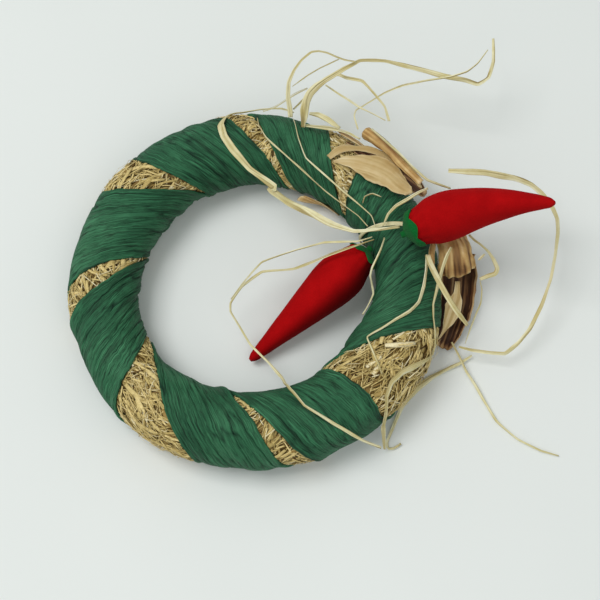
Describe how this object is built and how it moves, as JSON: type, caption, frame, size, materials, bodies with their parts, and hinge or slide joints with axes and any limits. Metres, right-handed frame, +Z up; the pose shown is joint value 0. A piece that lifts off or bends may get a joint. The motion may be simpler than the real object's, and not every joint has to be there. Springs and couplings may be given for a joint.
{
  "type": "straw wreath ornament",
  "caption": "Round wreath of bound straw wound with green paper ribbon, with stuffed red chillies, dried husk leaves and loose raffia tied on at one side.",
  "frame": {"origin": "on the surface the wreath lies on, under the middle of the box around the whole ornament", "axes": "+Z up out of the lying wreath, +X along the longest extent, towards the tip of the front chilli, +Y towards the loose raffia spray"},
  "size_m": [0.2672, 0.2398, 0.0879],
  "materials": {
    "straw": "matte dried straw",
    "paper_ribbon": "matte crinkled paper",
    "red_velour": "matte short pile",
    "green_felt": "matte felt",
    "raffia": "satin dried leaf",
    "pale_husk": "satin dried leaf",
    "brown_husk": "satin dried leaf"
  },
  "bodies": {
    "root": {"straw_ring": "straw", "ribbon_wrap": "paper_ribbon", "raffia_tie": "raffia", "chilli_front": "red_velour", "chilli_front_cap": "green_felt", "chilli_inner": "red_velour", "chilli_inner_cap": "green_felt", "husk_leaf_broad": "pale_husk", "husk_leaf_folded": "pale_husk", "husk_leaf_rolled": "brown_husk", "husk_leaf_under": "brown_husk", "husk_leaf_small": "brown_husk", "husk_leaf_inner": "brown_husk", "husk_cup": "brown_husk", "husk_leaf_back": "brown_husk", "husk_leaf_torn": "pale_husk", "husk_leaf_side": "brown_husk", "raffia_wide_loop": "raffia", "raffia_thin_long": "raffia", "raffia_thin_short": "raffia", "raffia_hair": "raffia", "raffia_hair_upper": "raffia", "raffia_spray_tall": "raffia", "raffia_spray_wide": "raffia", "raffia_spray_low": "raffia", "raffia_spray_fine": "raffia", "raffia_spray_far": "raffia", "raffia_big_loop": "raffia", "raffia_bent_frame": "raffia", "raffia_bent_strut": "raffia", "raffia_hanging": "raffia", "raffia_pale_front": "raffia", "raffia_long_fold": "raffia", "raffia_over_ribbon": "raffia", "raffia_floor_hook": "raffia", "raffia_floor_tail": "raffia", "raffia_inner_loop": "raffia", "raffia_inner_long": "raffia", "raffia_drop": "raffia", "raffia_curl": "raffia", "raffia_knot_loop": "raffia", "raffia_edge": "raffia", "raffia_edge_low": "raffia", "raffia_edge_far": "raffia"}
  },
  "joints": []
}
